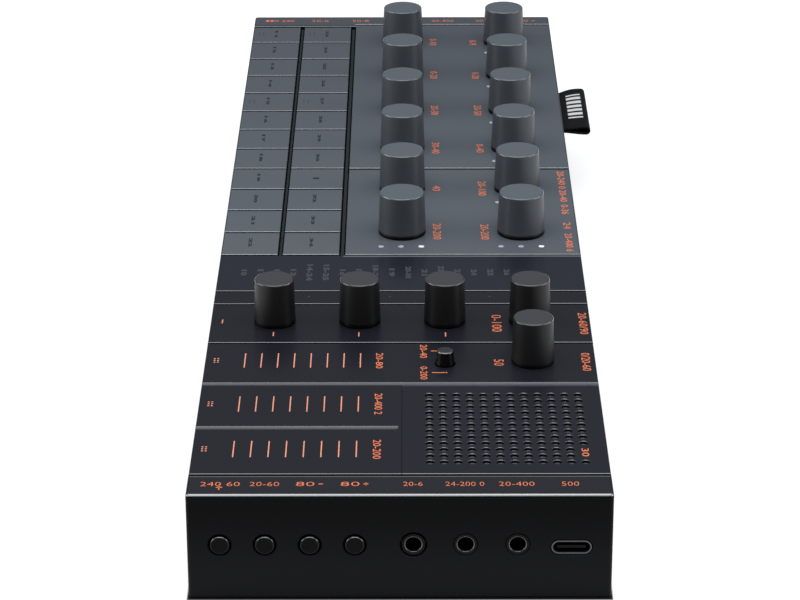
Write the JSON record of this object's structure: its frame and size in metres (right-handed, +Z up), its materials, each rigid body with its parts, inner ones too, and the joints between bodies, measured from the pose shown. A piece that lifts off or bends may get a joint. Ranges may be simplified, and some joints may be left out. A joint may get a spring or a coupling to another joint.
{
  "type": "drum machine",
  "caption": "Slim desktop drum machine with two columns of pads, rotary knobs, a small mode lever, a speaker grille and sockets in one end",
  "frame": {"origin": "centre of the case's footprint, on the plane that the feet rest on", "axes": "+X to the user's right, +Y away from the user along the case, from the socket end to the far end, +Z up"},
  "size_m": [0.1053, 0.3435, 0.0385],
  "materials": {
    "case_black": "fine-textured black",
    "track_grey": "satin blue-grey",
    "control_black": "satin black",
    "window_gloss": "smooth dark window",
    "grille_black": "satin black",
    "pad_grey": "satin grey",
    "knob_grey": "satin grey",
    "knob_black": "satin black",
    "lever_gloss": "glossy black",
    "button_black": "satin black",
    "socket_black": "moulded black",
    "screw_steel": "blackened steel",
    "foot_rubber": "matt rubber",
    "board_green": "solder mask",
    "battery_silver": "foil wrap",
    "speaker_metal": "pressed frame",
    "tag_fabric": "woven black ribbon"
  },
  "bodies": {
    "case": {"top_case": "case_black", "bottom_cover": "case_black", "case_screws": "screw_steel", "rubber_feet": "foot_rubber", "main_board": "board_green", "battery_pack": "battery_silver", "speaker": "speaker_metal", "sockets": "socket_black", "track_panel": "track_grey", "display_window": "window_gloss", "control_panel": "control_black", "speaker_grille": "grille_black", "button_strips": "button_black", "woven_tag": "tag_fabric"},
    "pad_01": {"pad_01": "pad_grey"},
    "pad_02": {"pad_02": "pad_grey"},
    "pad_03": {"pad_03": "pad_grey"},
    "pad_04": {"pad_04": "pad_grey"},
    "pad_05": {"pad_05": "pad_grey"},
    "pad_06": {"pad_06": "pad_grey"},
    "pad_07": {"pad_07": "pad_grey"},
    "pad_08": {"pad_08": "pad_grey"},
    "pad_09": {"pad_09": "pad_grey"},
    "pad_10": {"pad_10": "pad_grey"},
    "pad_11": {"pad_11": "pad_grey"},
    "pad_12": {"pad_12": "pad_grey"},
    "pad_13": {"pad_13": "pad_grey"},
    "pad_14": {"pad_14": "pad_grey"},
    "pad_15": {"pad_15": "pad_grey"},
    "pad_16": {"pad_16": "pad_grey"},
    "pad_17": {"pad_17": "pad_grey"},
    "pad_18": {"pad_18": "pad_grey"},
    "pad_19": {"pad_19": "pad_grey"},
    "pad_20": {"pad_20": "pad_grey"},
    "pad_21": {"pad_21": "pad_grey"},
    "pad_22": {"pad_22": "pad_grey"},
    "pad_23": {"pad_23": "pad_grey"},
    "pad_24": {"pad_24": "pad_grey"},
    "track_knob_01": {"track_knob_01": "knob_grey"},
    "track_knob_02": {"track_knob_02": "knob_grey"},
    "track_knob_03": {"track_knob_03": "knob_grey"},
    "track_knob_04": {"track_knob_04": "knob_grey"},
    "track_knob_05": {"track_knob_05": "knob_grey"},
    "track_knob_06": {"track_knob_06": "knob_grey"},
    "track_knob_07": {"track_knob_07": "knob_grey"},
    "track_knob_08": {"track_knob_08": "knob_grey"},
    "track_knob_09": {"track_knob_09": "knob_grey"},
    "track_knob_10": {"track_knob_10": "knob_grey"},
    "track_knob_11": {"track_knob_11": "knob_grey"},
    "track_knob_12": {"track_knob_12": "knob_grey"},
    "sound_knob_1": {"sound_knob_1": "knob_black"},
    "sound_knob_2": {"sound_knob_2": "knob_black"},
    "sound_knob_3": {"sound_knob_3": "knob_black"},
    "sound_knob_4": {"sound_knob_4": "knob_black"},
    "effect_knob": {"effect_knob": "knob_black"},
    "mode_lever": {"mode_lever": "lever_gloss"},
    "end_button_1": {"end_button_1": "button_black"},
    "end_button_2": {"end_button_2": "button_black"},
    "end_button_3": {"end_button_3": "button_black"},
    "end_button_4": {"end_button_4": "button_black"}
  },
  "joints": [
    {"name": "pad_01_press", "type": "slide", "parent": "case", "child": "pad_01", "axis": [0, 0, -1], "range_m": [0, 0.0012], "stiffness_N_per_m": 300},
    {"name": "pad_02_press", "type": "slide", "parent": "case", "child": "pad_02", "axis": [0, 0, -1], "range_m": [0, 0.0012], "stiffness_N_per_m": 300},
    {"name": "pad_03_press", "type": "slide", "parent": "case", "child": "pad_03", "axis": [0, 0, -1], "range_m": [0, 0.0012], "stiffness_N_per_m": 300},
    {"name": "pad_04_press", "type": "slide", "parent": "case", "child": "pad_04", "axis": [0, 0, -1], "range_m": [0, 0.0012], "stiffness_N_per_m": 300},
    {"name": "pad_05_press", "type": "slide", "parent": "case", "child": "pad_05", "axis": [0, 0, -1], "range_m": [0, 0.0012], "stiffness_N_per_m": 300},
    {"name": "pad_06_press", "type": "slide", "parent": "case", "child": "pad_06", "axis": [0, 0, -1], "range_m": [0, 0.0012], "stiffness_N_per_m": 300},
    {"name": "pad_07_press", "type": "slide", "parent": "case", "child": "pad_07", "axis": [0, 0, -1], "range_m": [0, 0.0012], "stiffness_N_per_m": 300},
    {"name": "pad_08_press", "type": "slide", "parent": "case", "child": "pad_08", "axis": [0, 0, -1], "range_m": [0, 0.0012], "stiffness_N_per_m": 300},
    {"name": "pad_09_press", "type": "slide", "parent": "case", "child": "pad_09", "axis": [0, 0, -1], "range_m": [0, 0.0012], "stiffness_N_per_m": 300},
    {"name": "pad_10_press", "type": "slide", "parent": "case", "child": "pad_10", "axis": [0, 0, -1], "range_m": [0, 0.0012], "stiffness_N_per_m": 300},
    {"name": "pad_11_press", "type": "slide", "parent": "case", "child": "pad_11", "axis": [0, 0, -1], "range_m": [0, 0.0012], "stiffness_N_per_m": 300},
    {"name": "pad_12_press", "type": "slide", "parent": "case", "child": "pad_12", "axis": [0, 0, -1], "range_m": [0, 0.0012], "stiffness_N_per_m": 300},
    {"name": "pad_13_press", "type": "slide", "parent": "case", "child": "pad_13", "axis": [0, 0, -1], "range_m": [0, 0.0012], "stiffness_N_per_m": 300},
    {"name": "pad_14_press", "type": "slide", "parent": "case", "child": "pad_14", "axis": [0, 0, -1], "range_m": [0, 0.0012], "stiffness_N_per_m": 300},
    {"name": "pad_15_press", "type": "slide", "parent": "case", "child": "pad_15", "axis": [0, 0, -1], "range_m": [0, 0.0012], "stiffness_N_per_m": 300},
    {"name": "pad_16_press", "type": "slide", "parent": "case", "child": "pad_16", "axis": [0, 0, -1], "range_m": [0, 0.0012], "stiffness_N_per_m": 300},
    {"name": "pad_17_press", "type": "slide", "parent": "case", "child": "pad_17", "axis": [0, 0, -1], "range_m": [0, 0.0012], "stiffness_N_per_m": 300},
    {"name": "pad_18_press", "type": "slide", "parent": "case", "child": "pad_18", "axis": [0, 0, -1], "range_m": [0, 0.0012], "stiffness_N_per_m": 300},
    {"name": "pad_19_press", "type": "slide", "parent": "case", "child": "pad_19", "axis": [0, 0, -1], "range_m": [0, 0.0012], "stiffness_N_per_m": 300},
    {"name": "pad_20_press", "type": "slide", "parent": "case", "child": "pad_20", "axis": [0, 0, -1], "range_m": [0, 0.0012], "stiffness_N_per_m": 300},
    {"name": "pad_21_press", "type": "slide", "parent": "case", "child": "pad_21", "axis": [0, 0, -1], "range_m": [0, 0.0012], "stiffness_N_per_m": 300},
    {"name": "pad_22_press", "type": "slide", "parent": "case", "child": "pad_22", "axis": [0, 0, -1], "range_m": [0, 0.0012], "stiffness_N_per_m": 300},
    {"name": "pad_23_press", "type": "slide", "parent": "case", "child": "pad_23", "axis": [0, 0, -1], "range_m": [0, 0.0012], "stiffness_N_per_m": 300},
    {"name": "pad_24_press", "type": "slide", "parent": "case", "child": "pad_24", "axis": [0, 0, -1], "range_m": [0, 0.0012], "stiffness_N_per_m": 300},
    {"name": "track_knob_01_turn", "type": "hinge", "parent": "case", "child": "track_knob_01", "pos_m": [0.00035, 0.14522, 0.0266], "axis": [0, 0, 1], "continuous": true},
    {"name": "track_knob_02_turn", "type": "hinge", "parent": "case", "child": "track_knob_02", "pos_m": [0.00035, 0.11306, 0.0266], "axis": [0, 0, 1], "continuous": true},
    {"name": "track_knob_03_turn", "type": "hinge", "parent": "case", "child": "track_knob_03", "pos_m": [0.00035, 0.0809, 0.0266], "axis": [0, 0, 1], "continuous": true},
    {"name": "track_knob_04_turn", "type": "hinge", "parent": "case", "child": "track_knob_04", "pos_m": [0.00035, 0.04874, 0.0266], "axis": [0, 0, 1], "continuous": true},
    {"name": "track_knob_05_turn", "type": "hinge", "parent": "case", "child": "track_knob_05", "pos_m": [0.00035, 0.01658, 0.0266], "axis": [0, 0, 1], "continuous": true},
    {"name": "track_knob_06_turn", "type": "hinge", "parent": "case", "child": "track_knob_06", "pos_m": [0.00035, -0.01558, 0.0266], "axis": [0, 0, 1], "continuous": true},
    {"name": "track_knob_07_turn", "type": "hinge", "parent": "case", "child": "track_knob_07", "pos_m": [0.0328, 0.14522, 0.0266], "axis": [0, 0, 1], "continuous": true},
    {"name": "track_knob_08_turn", "type": "hinge", "parent": "case", "child": "track_knob_08", "pos_m": [0.0328, 0.11306, 0.0266], "axis": [0, 0, 1], "continuous": true},
    {"name": "track_knob_09_turn", "type": "hinge", "parent": "case", "child": "track_knob_09", "pos_m": [0.0328, 0.0809, 0.0266], "axis": [0, 0, 1], "continuous": true},
    {"name": "track_knob_10_turn", "type": "hinge", "parent": "case", "child": "track_knob_10", "pos_m": [0.0328, 0.04874, 0.0266], "axis": [0, 0, 1], "continuous": true},
    {"name": "track_knob_11_turn", "type": "hinge", "parent": "case", "child": "track_knob_11", "pos_m": [0.0328, 0.01658, 0.0266], "axis": [0, 0, 1], "continuous": true},
    {"name": "track_knob_12_turn", "type": "hinge", "parent": "case", "child": "track_knob_12", "pos_m": [0.0328, -0.01558, 0.0266], "axis": [0, 0, 1], "continuous": true},
    {"name": "sound_knob_1_turn", "type": "hinge", "parent": "case", "child": "sound_knob_1", "pos_m": [-0.032, -0.0753, 0.0266], "axis": [0, 0, 1], "continuous": true},
    {"name": "sound_knob_2_turn", "type": "hinge", "parent": "case", "child": "sound_knob_2", "pos_m": [-0.01035, -0.0753, 0.0266], "axis": [0, 0, 1], "continuous": true},
    {"name": "sound_knob_3_turn", "type": "hinge", "parent": "case", "child": "sound_knob_3", "pos_m": [0.0113, -0.0753, 0.0266], "axis": [0, 0, 1], "continuous": true},
    {"name": "sound_knob_4_turn", "type": "hinge", "parent": "case", "child": "sound_knob_4", "pos_m": [0.03295, -0.0753, 0.0266], "axis": [0, 0, 1], "continuous": true},
    {"name": "effect_knob_turn", "type": "hinge", "parent": "case", "child": "effect_knob", "pos_m": [0.0328, -0.0995, 0.0266], "axis": [0, 0, 1], "continuous": true},
    {"name": "mode_lever_tilt", "type": "hinge", "parent": "case", "child": "mode_lever", "pos_m": [0.0111, -0.1011, 0.0208], "axis": [1, 0, 0], "range_deg": [-5, 5]},
    {"name": "end_button_1_press", "type": "slide", "parent": "case", "child": "end_button_1", "axis": [0, 1, 0], "range_m": [0, 0.0007], "stiffness_N_per_m": 300},
    {"name": "end_button_2_press", "type": "slide", "parent": "case", "child": "end_button_2", "axis": [0, 1, 0], "range_m": [0, 0.0007], "stiffness_N_per_m": 300},
    {"name": "end_button_3_press", "type": "slide", "parent": "case", "child": "end_button_3", "axis": [0, 1, 0], "range_m": [0, 0.0007], "stiffness_N_per_m": 300},
    {"name": "end_button_4_press", "type": "slide", "parent": "case", "child": "end_button_4", "axis": [0, 1, 0], "range_m": [0, 0.0007], "stiffness_N_per_m": 300}
  ]
}
